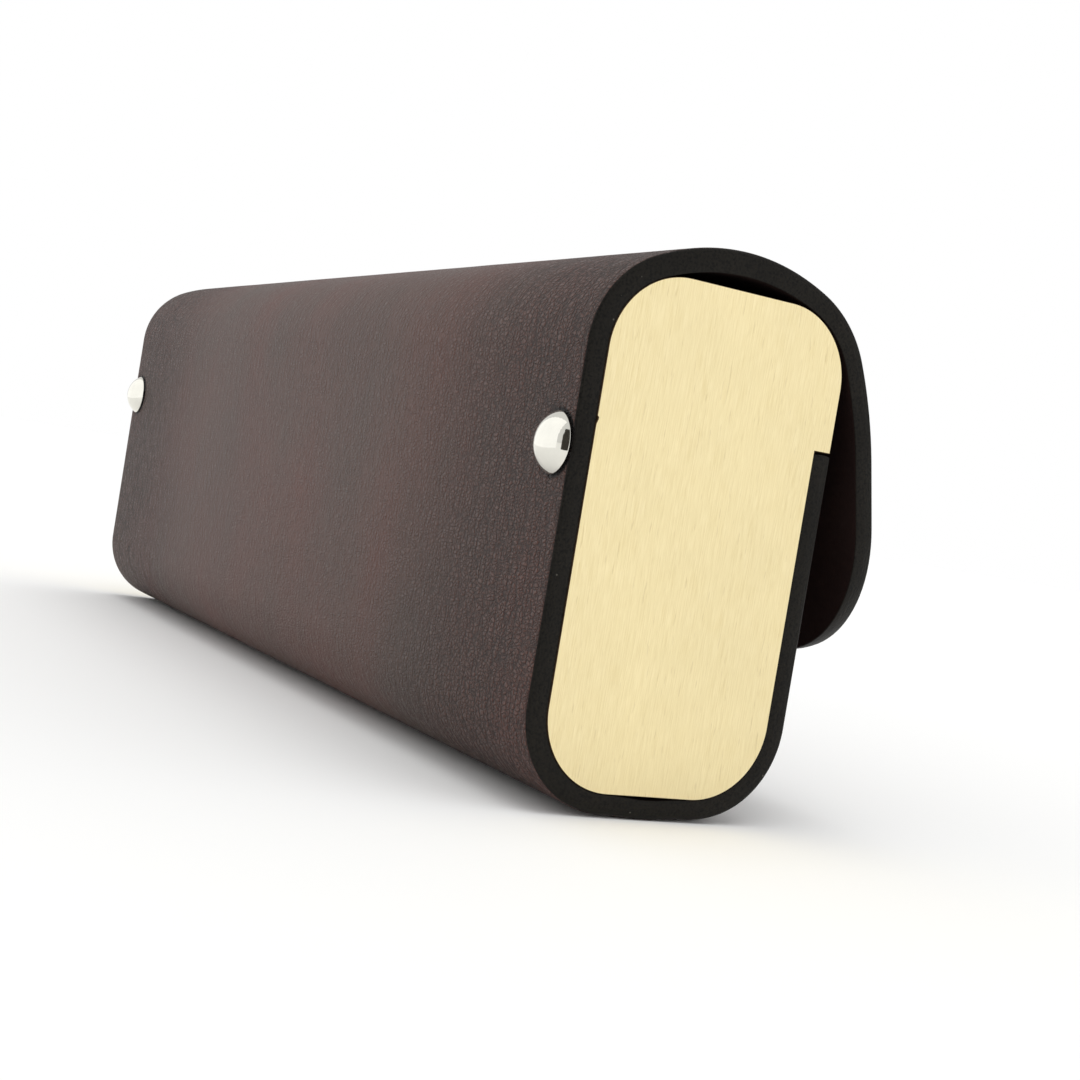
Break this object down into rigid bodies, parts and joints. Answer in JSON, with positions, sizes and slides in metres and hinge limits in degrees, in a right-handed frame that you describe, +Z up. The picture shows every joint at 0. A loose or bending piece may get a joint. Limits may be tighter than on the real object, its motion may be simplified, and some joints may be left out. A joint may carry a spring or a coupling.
{
  "type": "eyeglasses case",
  "caption": "Hard eyeglasses case of thick leather wrapped round wooden end blocks, with a hinged lid and a front flap that closes on a snap.",
  "frame": {"origin": "middle of the flat bottom that the case stands on", "axes": "+X along the case's length, -Y towards the front where the flap hangs, +Z up"},
  "size_m": [0.178, 0.0488, 0.064],
  "materials": {
    "leather": "dark brown, fine pebble grain, black painted edges",
    "wood": "pale birch, sanded, unvarnished",
    "nickel": "polished nickel plate",
    "black_nickel": "satin black nickel plate",
    "spring_steel": "oxidised drawn wire"
  },
  "bodies": {
    "case_body": {"leather_body_wrap": "leather", "wood_end_left": "wood", "wood_end_right": "wood", "nail_back_left": "nickel", "nail_back_right": "nickel", "nail_front_left": "nickel", "nail_front_right": "nickel", "snap_stud": "black_nickel", "snap_post": "black_nickel"},
    "lid": {"leather_lid_top": "leather"},
    "flap": {"leather_flap_front": "leather", "snap_cap": "nickel", "snap_socket": "black_nickel", "snap_socket_spring": "spring_steel"}
  },
  "joints": [
    {"name": "lid_fold", "type": "hinge", "parent": "case_body", "child": "lid", "pos_m": [0, 0.0172, 0.0457], "axis": [-1, 0, 0], "range_deg": [0, 110], "stiffness_Nm_per_rad": 0.02},
    {"name": "flap_fold", "type": "hinge", "parent": "lid", "child": "flap", "pos_m": [0, -0.01961, 0.0549], "axis": [-1, 0, 0], "range_deg": [-4.7, 40], "stiffness_Nm_per_rad": 0.15}
  ]
}
